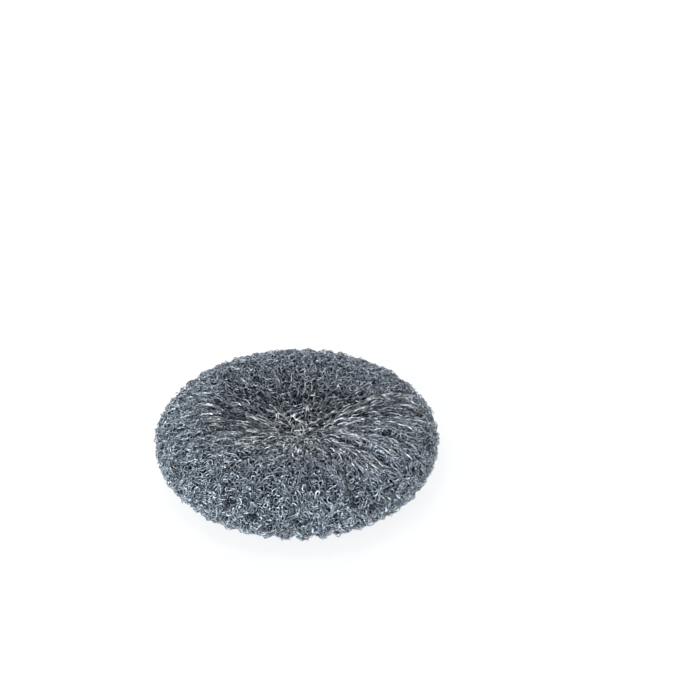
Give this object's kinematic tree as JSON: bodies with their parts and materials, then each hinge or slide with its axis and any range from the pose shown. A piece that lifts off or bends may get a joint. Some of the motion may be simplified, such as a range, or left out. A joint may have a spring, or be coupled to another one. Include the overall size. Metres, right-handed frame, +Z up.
{
  "type": "galvanised wire scourer",
  "caption": "Round bun of knitted galvanised wire for scouring, drawn in at both centres.",
  "frame": {"origin": "centre of the bun's round foot, on the surface that it lies on", "axes": "+Z up along the bun's round axis, out of the deeper drawn-in centre; X and Y across the bun"},
  "size_m": [0.1, 0.0998, 0.028],
  "materials": {
    "galvanised_wire": "bright zinc on fine drawn wire, blue-grey, with white glints and dark gaps"
  },
  "bodies": {
    "root": {"knitted_bun": "galvanised_wire"}
  },
  "joints": []
}
